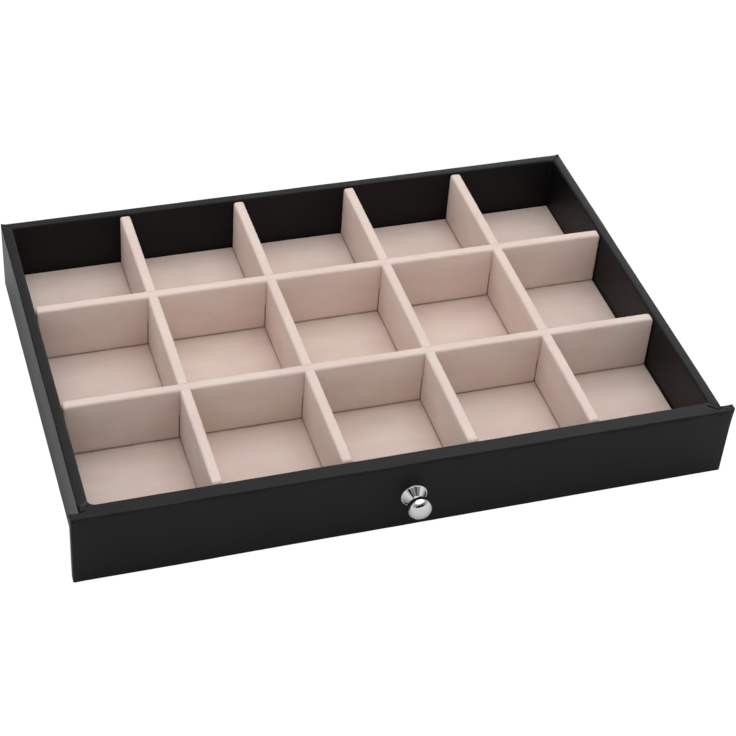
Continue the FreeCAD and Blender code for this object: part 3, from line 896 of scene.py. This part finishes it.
def makeFrontCover(seed):
    work = frontCoverWork
    face, ear, inside, rim = tray["face"], tray["ear"], tray["frontInside"], tray["rim"]

    def innerRim(place):
        return place.y > inside - hair and place.z > rim - hair

    radius, steps = coverWork["foldRadius"], coverWork["foldSteps"]
    shell = foldedShell(frontFaces(), radius, steps, innerRim, work["innerFoldRadius"])
    inner = ear - work["fineReach"]
    stations = spaced(-inner, inner, coverWork["net"])
    for side in (-1, 1):
        stations += spaced(side * ear, side * inner, coverWork["fineNet"])[1:-1]
    cutAcross(shell, (1, 0, 0), stations)
    levels = spaced(0, rim, coverWork["upNet"])[1:-1]
    cutAcross(shell, (0, 0, 1), levels + [rim - depth for depth in work["edgeCuts"]])
    cutAcross(shell, (0, 1, 0), spaced(face, inside, work["bandNet"])[1:-1])
    workCover(shell, frontShade, frontPush(seed))
    band = rim - tray["trayFloor"] + inside - face + rim
    band += tray["earBack"] + tray["turnUnder"] - face
    width = 2 * ear + 2 * (tray["earBack"] - face)
    sheetFrom(
        shell, "frontCover", finishes["leatherette"], "fascia_leatherette", "drawer", "front_cover",
        tray["leather"], (width, band), ["fascia_board", "front_board", "bottom_board"],
    )


makeFrontCover(11)
print("front cover wrapped over the fascia and the front wall")


liningWork = {
    "net": 6 * mm,
    "slack": 0.05 * mm,
    "slackSize": 30 * mm,
    "cornerRound": 1.2 * mm,
    "thin": 0.8,  # share of the lining's full thickness, so that its slack stays inside it
}


def makeLining():
    lo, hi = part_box("bottom_lining")
    work = liningWork
    sheet = bmesh.new()
    corners = [(lo.x, lo.y), (lo.x, hi.y), (hi.x, hi.y), (hi.x, lo.y)]
    sheet.faces.new([sheet.verts.new((x, y, lo.z)) for x, y in corners])
    bmesh.ops.bevel(
        sheet, geom=sheet.verts[:], offset=work["cornerRound"], offset_type="OFFSET", segments=4,
        profile=0.5, affect="VERTICES",
    )
    cutNet(sheet, lo, hi, work["net"])

    def push(point, normal):
        return Vector((0, 0, work["slack"] * (1 + ripple(point, work["slackSize"], 3))))

    disturb(sheet, push)
    sheetFrom(
        sheet, "bottomLining", finishes["leatherette"], "underside_leatherette", "drawer", "bottom_lining",
        (hi.z - lo.z) * work["thin"], (hi.x - lo.x, hi.y - lo.y), ["bottom_board"],
    )


makeLining()
print("underside lined")


# Floor velvet over its card, edges rolled down
floorWork = {
    "roll": 0.9 * mm,
    "rollSteps": 5,
    "net": 3.0 * mm,
    "edgeCut": 1.8 * mm,  # an extra cut this far in from each edge
    "swell": 0.10 * mm,
    "swellSize": 38 * mm,
    "sink": 0.3,  # share of the swell by which the whole floor is let down
    "topSlope": 0.5,  # where the velvet looks up less than this, it stays on its card
    "lip": 0.06 * mm,  # the pile stands up a little along the rolled edges
    "lipWidth": 1.0 * mm,
    "cloth": 0.5 * mm,
    "footShade": 0.62,  # painted contact shadow along the dividers' feet
    "footWidth": 0.42 * mm,
    "footPressed": 0.25,  # what is left of the painted shadow in the middle of a footprint, as a pressed mark
    "footSoft": (0.26, 1.9 * mm),  # share and reach of a softer painted shadow further out
    "footRagged": (0.85, 0.5, 6 * mm),  # middle, swing and length
    "footCuts": (-0.6 * mm, 0.0, 0.2 * mm, 0.45 * mm, 0.8 * mm, 1.4 * mm, 2.2 * mm, 3.4 * mm),
}


def footprints():
    # plans of the dividers: lowest and highest corners
    rows = [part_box(f"long_divider_{row}_velvet") for row in ("front", "rear")]
    return rows + [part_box(f"cross_divider_{number}_velvet") for number in range(1, 5)]


# painted contact shadow on the floor velvet round the dividers' feet
def footShade(point, feet):
    # the way to the nearest footprint's edge, below nought inside one
    work = floorWork
    away = min(max(lo.x - point.x, point.x - hi.x, lo.y - point.y, point.y - hi.y) for lo, hi in feet)
    pressed = bell(away, work["footWidth"])
    soft, reach = work["footSoft"]
    if away < 0:
        pressed = max(pressed, work["footPressed"])
    else:
        pressed = pressed * (1 - soft) + bell(away, reach) * soft
    return work["footShade"] * pressed * varied(point, *work["footRagged"], 61)


def makeFloorVelvet():
    lo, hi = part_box("floor_velvet")
    work = floorWork
    corners = [(lo.x, lo.y), (hi.x, lo.y), (hi.x, hi.y), (lo.x, hi.y)]
    faces = [[(x, y, hi.z) for x, y in corners]]
    for (x0, y0), (x1, y1) in zip(corners, corners[1:] + corners[:1]):
        faces.append([(x0, y0, lo.z), (x1, y1, lo.z), (x1, y1, hi.z), (x0, y0, hi.z)])
    shell = foldedShell(faces, work["roll"], work["rollSteps"])
    cutNet(shell, lo, hi, work["net"])
    levelAxes = ((1, 0, 0), (0, 1, 0))
    for axis, normal in enumerate(levelAxes):
        cutAcross(shell, normal, [lo[axis] + work["edgeCut"], hi[axis] - work["edgeCut"]])
    feet = footprints()
    for low, high in feet:
        axis = 1 if high.x - low.x > high.y - low.y else 0
        for cut in work["footCuts"]:
            cutAcross(shell, levelAxes[axis], [low[axis] - cut, high[axis] + cut])
    paint(shell, lambda point: footShade(point, feet))

    def push(point, normal):
        edge = min(point.x - lo.x, hi.x - point.x, point.y - lo.y, hi.y - point.y)
        rise = work["swell"] * ripple(point, work["swellSize"], 5) - work["sink"] * work["swell"]
        rise += work["lip"] * bell(edge - work["roll"], work["lipWidth"])
        return Vector((0, 0, rise)) if normal.z > work["topSlope"] else Vector()

    disturb(shell, push)
    skirt = 2 * (hi.z - lo.z)
    sheetFrom(
        shell, "floorVelvet", finishes["floorVelvet"], "floor_velvet", "drawer", "floor_velvet",
        work["cloth"], (hi.x - lo.x + skirt, hi.y - lo.y + skirt), ["floor_card"],
    )


makeFloorVelvet()
print("floor velvet laid")


# Velvet sleeves of the dividers
sleeveWork = {
    "topRound": 1.15 * mm,
    "cornerRound": 2.0 * mm,  # seen from the side
    "endRound": 0.9 * mm,  # seen from above
    "roundSteps": 6,
    "net": 0.9 * mm,
    "netGap": 0.3 * mm,  # no cut of the net is nearer than this to another cut
    "upNet": 1.5 * mm,
    "upNetGap": 0.4 * mm,
    "upNetStart": 2 * mm,
    "footLevels": (0.0, 0.35 * mm, 0.8 * mm),  # finer cuts below that
    "topNet": 0.5 * mm,
    "pileRise": 0.22 * mm,  # the pile stands above the board's own height
    "pileRiseReach": 1.5 * mm,
    "swell": 0.08 * mm,
    "swellSize": 24 * mm,
    "fluff": 0.035 * mm,
    "fluffSize": 2.0 * mm,
    "edgeFluff": 0.15 * mm,  # ragged pile along the top's edges and round the ends
    "edgeFluffSize": 0.85 * mm,
    "edgePlace": (0.3, 0.8),  # how far under the top it is, and its reach, in shares of topRound
    "endReach": 0.8 * mm,
    "footDeep": 0.2 * mm,  # what counts as the foot
    "footHang": 0.05 * mm,  # the pile hangs this far below the divider's foot
    "footFray": 0.09 * mm,
    "footFraySize": 2.6 * mm,
    "footShade": 0.6,  # painted shadow along the foot, and its height
    "footLine": 0.45 * mm,
    "slotShade": 1.0,  # painted shadow along a slot's edges, and its width
    "slotLine": 0.28 * mm,
    "slotCuts": (0, 0.3 * mm, 0.7 * mm),  # cuts beside each slot
    "slotPlay": 0.45 * mm,  # how much wider a slot is than the divider that crosses in it
    "crossingPlay": 0.1 * mm,  # how much more than half the height the long dividers' slots take
    "slotClosed": (0.42 * mm, 0.75 * mm),  # pile that closes a slot near the top, and right at the top
    "slotClosedDeep": (3 * mm, 0.7 * mm),  # how far down each of the two goes
    "slotClosedReach": 0.35 * mm,  # how far from the slot the pile is drawn in
    "cloth": 0.4 * mm,
    "apart": 40 * mm,  # keeps one sleeve's unevenness off the next one's
}


def arcDrop(distance, radius):
    distance = max(distance, 0.0)
    if distance >= radius:
        return 0.0
    return radius - math.sqrt(radius ** 2 - (radius - distance) ** 2)


def sleeveProfile(thickness, height, slotLevel):
    # from the left foot over the top to the right foot, as (side, level)
    work = sleeveWork
    radius, steps = work["topRound"], work["roundSteps"]
    levels = [*work["footLevels"], slotLevel]
    for level in spaced(work["upNetStart"], height - radius, work["upNet"]):
        if abs(level - slotLevel) > work["upNetGap"]:
            levels.append(level)
    left = [(-thickness / 2, level) for level in sorted(levels)]
    for step in range(1, steps):
        angle = math.radians(90) * step / steps
        side = -thickness / 2 + radius * (1 - math.cos(angle))
        left.append((side, height - radius + radius * math.sin(angle)))
    left += [(side, height) for side in spaced(-thickness / 2 + radius, 0, work["topNet"])]
    return left + [(-side, level) for side, level in reversed(left[:-1])]


def sleeveStations(length, slots, slotWidth):
    work = sleeveWork
    radius, steps = work["cornerRound"], work["roundSteps"]
    ends = [radius * (1 - math.cos(math.radians(90) * step / steps)) for step in range(steps + 1)]
    marks = ends + [length - mark for mark in ends]
    for slot in slots:
        marks += [slot + side * (slotWidth / 2 + gap) for side in (-1, 1) for gap in work["slotCuts"]]
        marks.append(slot)
    net = spaced(radius, length - radius, work["net"])
    kept = [mark for mark in net if min(abs(mark - other) for other in marks) > work["netGap"]]
    return sorted(set(round(mark, 7) for mark in marks + kept))


def sleeveShell(length, thickness, height, slots, slotWidth, slotLevel, slotsOpenUp):
    # lies along X with its foot at nought
    work = sleeveWork
    profile = sleeveProfile(thickness, height, slotLevel)
    stations = sleeveStations(length, slots, slotWidth)
    sleeve = bmesh.new()
    rows = []
    for station in stations:
        end = min(station, length - station)
        drop, narrow = arcDrop(end, work["cornerRound"]), arcDrop(end, work["endRound"])
        row = []
        for side, level in profile:
            across = side * (1 - 2 * narrow / thickness)
            fade = min(1.0, level / (height - work["topRound"]))
            row.append(sleeve.verts.new((station, across, level - drop * fade)))
        rows.append(row)
    for before, after, left, right in zip(stations, stations[1:], rows, rows[1:]):
        middle = (before + after) / 2
        inSlot = any(abs(middle - slot) < slotWidth / 2 for slot in slots)
        for index in range(len(profile) - 1):
            level = (profile[index][1] + profile[index + 1][1]) / 2
            if not inSlot or (level > slotLevel) != slotsOpenUp:
                sleeve.faces.new((left[index], left[index + 1], right[index + 1], right[index]))
    for row, flip in ((rows[0], True), (rows[-1], False)):
        for index in range(len(profile) // 2):
            quad = list(dict.fromkeys([row[index], row[index + 1], row[-2 - index], row[-1 - index]]))
            sleeve.faces.new(quad[::-1] if flip else quad)
    loose = [vertex for vertex in sleeve.verts if not vertex.link_faces]
    bmesh.ops.delete(sleeve, geom=loose, context="VERTS")
    turnOutwards(sleeve)
    return sleeve


def makeSleeve(name, node, core, body, finish, alongY, slots, slotLevel, slotsOpenUp, seed):
    lo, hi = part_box(node)
    work = sleeveWork
    length, thickness = (hi.y - lo.y, hi.x - lo.x) if alongY else (hi.x - lo.x, hi.y - lo.y)
    height = hi.z - lo.z
    slotWidth = thickness + work["slotPlay"]
    sleeve = sleeveShell(length, thickness, height, slots, slotWidth, slotLevel, slotsOpenUp)

    def offSlot(along):
        # how far outside the nearest slot, and on which side of it
        nearest = min(slots, key=lambda slot: abs(along - slot))
        return max(abs(along - nearest) - slotWidth / 2, 0.0), math.copysign(1, along - nearest)

    # painted shadow along the foot and on the open slots' edges
    def shade(point):
        foot = work["footShade"] * bell(point.z, work["footLine"])
        opened = point.z > slotLevel if slotsOpenUp else point.z < slotLevel
        if not opened:
            return foot
        closed = bell(height - point.z, work["slotClosedDeep"][0]) if slotsOpenUp else 0.0
        aside = offSlot(point.x)[0]
        return max(work["slotShade"] * bell(aside, work["slotLine"]) * (1 - closed), foot)

    def push(point, normal):
        place = point + Vector((0, work["apart"] * seed, 0))
        under = height - point.z
        move = normal * work["swell"] * ripple(place, work["swellSize"], seed)
        move += normal * work["fluff"] * ripple(place, work["fluffSize"], seed + 1)
        inset, reach = work["edgePlace"]
        edge = bell(height - inset * work["topRound"] - point.z, reach * work["topRound"])
        edge = max(edge, bell(min(point.x, length - point.x), work["endReach"]))
        move += normal * work["edgeFluff"] * edge * ripple(place, work["edgeFluffSize"], seed + 2)
        move.z += work["pileRise"] * bell(under, work["pileRiseReach"])
        if point.z < work["footDeep"]:
            move.z += work["footFray"] * ripple(place, work["footFraySize"], seed + 3) - work["footHang"]
        if slotsOpenUp and point.z > slotLevel:
            aside, side = offSlot(point.x)
            (near, right), (nearDeep, rightDeep) = work["slotClosed"], work["slotClosedDeep"]
            closing = near * bell(under, nearDeep) + right * bell(under, rightDeep)
            move.x -= side * closing * bell(aside, work["slotClosedReach"])
        return move

    paint(sleeve, shade)
    disturb(sleeve, push)
    for vertex in sleeve.verts:
        along, across, up = vertex.co
        if alongY:
            vertex.co = ((lo.x + hi.x) / 2 - across, lo.y + along, lo.z + up)
        else:
            vertex.co = (lo.x + along, (lo.y + hi.y) / 2 + across, lo.z + up)
    flat = (length + thickness, 2 * height + thickness)
    opening = 2 * (height - slotLevel) + thickness if slotsOpenUp else 2 * slotLevel
    sheetFrom(
        sleeve, name, finish, "divider_velvet", body, node, work["cloth"], flat, [core],
        area=flat[0] * flat[1] - len(slots) * slotWidth * opening,
    )


def middleOf(node, axis):
    lo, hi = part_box(node)
    return (lo[axis] + hi[axis]) / 2


longRows = {"Front": "front", "Rear": "rear"}
crossNumbers = range(1, 5)
dividerLow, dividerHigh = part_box("long_divider_front_velvet")
dividerHeight = dividerHigh.z - dividerLow.z
slotHeight = dividerHeight / 2 + sleeveWork["crossingPlay"]

crossPlaces = [middleOf(f"cross_divider_{number}_velvet", 0) for number in crossNumbers]
longPlaces = [middleOf(f"long_divider_{row}_velvet", 1) for row in longRows.values()]
for seed, (label, row) in enumerate(longRows.items(), start=1):
    node = f"long_divider_{row}_velvet"
    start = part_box(node)[0].x
    makeSleeve(
        f"longDivider{label}Velvet", node, f"long_divider_{row}_core", f"{row}_long_divider",
        finishes["longVelvet"], False, [place - start for place in crossPlaces], slotHeight, False, seed,
    )
for number in crossNumbers:
    node = f"cross_divider_{number}_velvet"
    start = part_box(node)[0].y
    makeSleeve(
        f"crossDivider{number}Velvet", node, f"cross_divider_{number}_core", "cross_dividers",
        finishes["crossVelvet"], True, [place - start for place in longPlaces],
        dividerHeight - slotHeight, True, number + 4,
    )
print("dividers sleeved in velvet")


# Turned knob
knobShape = {
    "rimHeight": 0.62 * mm,
    "rimRound": 0.2 * mm,
    "lip": 0.55 * mm,  # flat ring round the flange
    "lipRise": 0.12 * mm,
    "neckRadius": 2.2 * mm,
    "neckStart": 4.2 * mm,
    "neckEnd": 4.55 * mm,
    "headRadius": 5.75 * mm,
    "headReach": 8.55 * mm,  # widest place of the head, out from the fascia
    "around": 192,
    "alongCone": 10,
    "alongHead": 26,
    "sharpFrom": 25,  # degrees
}


def knobProfile(flange, reach):
    # (radius, out from the fascia): ring, straight cone, neck, then two quarter ovals for the head
    shape = knobShape
    rim, small = shape["rimHeight"], shape["rimRound"]
    inset = 0.3 * small  # halfway round the flange's edge
    profile = [(flange, 0.0), (flange, rim - small), (flange - inset, rim - inset), (flange - small, rim)]
    ring = (flange - shape["lip"], rim + shape["lipRise"])
    neck = (shape["neckRadius"], shape["neckStart"])
    for step in range(shape["alongCone"] + 1):
        share = step / shape["alongCone"]
        profile.append((ring[0] + (neck[0] - ring[0]) * share, ring[1] + (neck[1] - ring[1]) * share))
    widest, out = shape["headRadius"], shape["headReach"]
    for step in range(shape["alongHead"]):
        angle = math.radians(90) * step / shape["alongHead"]
        radius = shape["neckRadius"] + (widest - shape["neckRadius"]) * math.sin(angle)
        profile.append((radius, out - (out - shape["neckEnd"]) * math.cos(angle)))
    for step in range(2 * shape["alongHead"]):
        angle = math.radians(90) * step / (2 * shape["alongHead"])
        profile.append((widest * math.cos(angle), out + (reach - out) * math.sin(angle)))
    return profile


def makeKnob():
    shape = knobShape
    around = range(shape["around"])
    lo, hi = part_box("knob")
    reach = hi.y - lo.y
    centre = Vector(((lo.x + hi.x) / 2, hi.y, (lo.z + hi.z) / 2))
    knob = bmesh.new()
    rings = []
    for radius, out in knobProfile((hi.x - lo.x) / 2, reach):
        ring = []
        for step in around:
            angle = 2 * math.pi * step / len(around)
            spoke = Vector((radius * math.cos(angle), -out, radius * math.sin(angle)))
            ring.append(knob.verts.new(centre + spoke))
        rings.append(ring)
    for inner, outer in zip(rings, rings[1:]):
        for step in around:
            following = (step + 1) % len(around)
            knob.faces.new((inner[step], inner[following], outer[following], outer[step]))
    tip = knob.verts.new(centre + Vector((0, -reach, 0)))
    for step in around:
        knob.faces.new((rings[-1][step], rings[-1][(step + 1) % len(around)], tip))
    knob.faces.new(rings[0][::-1])
    bmesh.ops.recalc_face_normals(knob, faces=knob.faces)
    piece = pieceFrom(knob, "chromeKnob", finishes["chrome"], "drawer", "knob")
    piece.data.set_sharp_from_angle(angle=math.radians(shape["sharpFrom"]))


makeKnob()
print("knob turned")


# Studio: white floor and room, soft light from above and from the right behind
studio = {
    "floorDrop": 0.2 * mm,
    "floorSize": 8.0,
    "floorGlow": 1.0,  # the white that the camera sees
    "bounce": (0.92, 0.92, 0.92),  # the paper that lights the tray from below
    "paperCloud": 0.12,  # size of the papers' faint unevenness, in metres
    "paperUneven": (1.03, 0.97),  # how much brighter the glow and darker the bounce is in places
    "room": 0.735,
    "lowMirror": 1.0,  # the far paper and the lamps' white, which only gloss and chrome see
    "lowMirrorBand": (0.42, 0.30),  # it fades out between these heights on the sky
    "highMirror": 1.7,
    "highMirrorBand": (0.76, 0.82),
    "highMirrorBack": (0.5, 0.2),  # and fades out towards the back
    "softboxPlace": (0.05, 0.35, 1.3),
    "softboxSize": (1.3, 1.0),
    "softboxPower": 7.2,
    "panelPlace": (1.01, 1.45, 0.94),  # only seen as a gleam
    "panelSize": (0.7, 0.7),
    "panelPower": 5.2,
    "flagRagged": 0.09,
    "flagRaggedScale": 7.0,
    "flagRaggedAside": 0.5,  # how much of it their upright edges have
    "flagTilt": -0.13,  # the flags hang lower on the left
    "flagEdge": (0.015, 0.02),  # half the softness of their level and of their upright edges
    "flagFolds": 8.0,
    "flagFoldBand": (0.42, 0.6),
    # cloths round the camera: bearing from +X towards +Y, half width, low and high, in degrees,
    # how dark they are and how much of that their folds take away
    "flags": [
        {"bearing": -94, "half": 35, "low": 18, "high": 37, "dark": 1.0, "thin": 0.0},
        {"bearing": -96, "half": 68, "low": 18, "high": 37, "dark": 0.66, "thin": 0.6},
        {"bearing": -95, "half": 66, "low": 36, "high": 52, "dark": 0.78, "thin": 0.6},
        {"bearing": -12, "half": 9, "low": 24, "high": 36, "dark": 0.8, "thin": 0.3},
    ],
}


def layPaper(name, height, finish, **sockets):
    mesh = bpy.data.meshes.new(name)
    half = studio["floorSize"] / 2
    corners = [(-half, -half), (half, -half), (half, half), (-half, half)]
    mesh.from_pydata([(x, y, height) for x, y in corners], [], [(0, 1, 2, 3)])
    mesh.materials.append(finish.set(Roughness=1.0, **sockets))
    paper = placed(name, mesh)
    return paper


def layPapers():
    white, under = Finish("whitePaper"), Finish("bouncePaper")
    whiteClouds, underClouds = (finish.grain(studio["paperCloud"], 2.0, 0.5) for finish in (white, under))
    brighter, darker = studio["paperUneven"]
    glow = white.spread(whiteClouds, studio["floorGlow"], studio["floorGlow"] * brighter)
    shade = under.tint(underClouds, scaled(studio["bounce"], [darker] * 3), studio["bounce"])
    floor = layPaper(
        "whiteFloor", -studio["floorDrop"], white,
        Base_Color=(0, 0, 0, 1), Emission_Color=(1, 1, 1, 1), Emission_Strength=glow,
    )
    floor.visible_diffuse = False
    floor.visible_glossy = False
    floor.visible_shadow = False
    bounce = layPaper("bouncePaper", -2 * studio["floorDrop"], under, Base_Color=shade)
    bounce.visible_camera = False


def hangFlag(bench, flag, x, y, height, level, wobble, folds):
    # how much of the light one cloth takes away, in each direction
    low, high, bearing, half = (math.radians(flag[key]) for key in ("low", "high", "bearing", "half"))
    soft, aside = studio["flagEdge"]
    above = bench.between(height, math.sin(low) - soft, math.sin(low) + soft, easing="SMOOTHSTEP")
    below = bench.between(height, math.sin(high) + soft, math.sin(high) - soft, easing="SMOOTHSTEP")
    facing = bench.plus(bench.times(x, math.cos(bearing)), bench.times(y, math.sin(bearing)))
    strayed = bench.times(wobble, studio["flagRaggedAside"])
    facing = bench.plus(bench.reckon("DIVIDE", facing, level), strayed)
    within = bench.between(facing, math.cos(half) - aside, math.cos(half) + aside, easing="SMOOTHSTEP")
    cloth = bench.reckon("MULTIPLY_ADD", folds, -flag["dark"] * flag["thin"], flag["dark"])
    return bench.times(bench.times(bench.times(above, below), within), cloth)


def makeSky():
    world = bpy.data.worlds.new("studioRoom")
    bpy.context.scene.world = world
    world.use_nodes = True
    bench = NodeBench(world.node_tree)
    plus, times, reckon = bench.plus, bench.times, bench.reckon

    def fade(value, band):
        return bench.between(value, *band, easing="SMOOTHSTEP")

    towards = bench.add("ShaderNodeTexCoord").outputs["Generated"]
    x, y, z = bench.add("ShaderNodeSeparateXYZ", {"Vector": towards}).outputs
    ragged = bench.add("ShaderNodeTexNoise", {"Scale": studio["flagRaggedScale"], "Vector": towards})
    wobble = reckon("MULTIPLY_ADD", ragged.outputs["Fac"], 2 * studio["flagRagged"], -studio["flagRagged"])
    height = plus(reckon("MULTIPLY_ADD", x, studio["flagTilt"], z), wobble)
    level = reckon("MAXIMUM", reckon("SQRT", plus(times(x, x), times(y, y))), 0.001)
    bearing = {"X": reckon("DIVIDE", x, level), "Y": reckon("DIVIDE", y, level)}
    around = bench.add("ShaderNodeCombineXYZ", bearing)
    drapes = bench.add("ShaderNodeTexNoise", {"Scale": studio["flagFolds"], "Vector": around.outputs[0]})
    folds = fade(drapes.outputs["Fac"], studio["flagFoldBand"])
    lowGlow = times(fade(z, studio["lowMirrorBand"]), studio["lowMirror"] - studio["room"])
    highGlow = times(fade(z, studio["highMirrorBand"]), fade(y, studio["highMirrorBack"]))
    highGlow = times(highGlow, studio["highMirror"] - studio["room"])
    clear = 1.0
    for flag in studio["flags"]:
        hidden = hangFlag(bench, flag, x, y, height, level, wobble, folds)
        clear = times(clear, reckon("SUBTRACT", 1.0, hidden))
    gleam = times(plus(plus(lowGlow, highGlow), studio["room"]), clear)
    mirrored = bench.add("ShaderNodeLightPath").outputs["Is Glossy Ray"]
    light = reckon("MULTIPLY_ADD", mirrored, reckon("SUBTRACT", gleam, studio["room"]), studio["room"])
    background = world.node_tree.nodes["Background"]
    bench.fill(background.inputs["Strength"], light)
    bench.fill(background.inputs["Color"], (1, 1, 1, 1))


def softLight(name, place, size, power):
    light = bpy.data.lights.new(name, "AREA")
    light.shape = "RECTANGLE"
    light.size, light.size_y = size
    light.energy = power
    lamp = placed(name, light)
    lamp.location = place
    lamp.rotation_euler = Vector(place).to_track_quat("Z", "Y").to_euler()
    return lamp


view = {
    "place": (-0.23850, -0.68424, 0.62909),
    "turn": (49.106, -3.651, -17.010),  # degrees about X, Y and Z
    "lens": 94.942,
    "sensor": 36.0,
}


def makeCamera():
    eye = bpy.data.cameras.new("camera")
    eye.lens = view["lens"]
    eye.sensor_width = view["sensor"]
    camera = placed("camera", eye)
    camera.location = view["place"]
    camera.rotation_euler = Euler([math.radians(angle) for angle in view["turn"]])
    bpy.context.scene.camera = camera


layPapers()
makeSky()
softLight("softbox", studio["softboxPlace"], studio["softboxSize"], studio["softboxPower"])
gleamPanel = softLight("gleamPanel", studio["panelPlace"], studio["panelSize"], studio["panelPower"])
gleamPanel.visible_diffuse = False
makeCamera()
bpy.context.scene.view_settings.view_transform = "Standard"
print("studio lit and camera set")

bpy.context.view_layer.update()
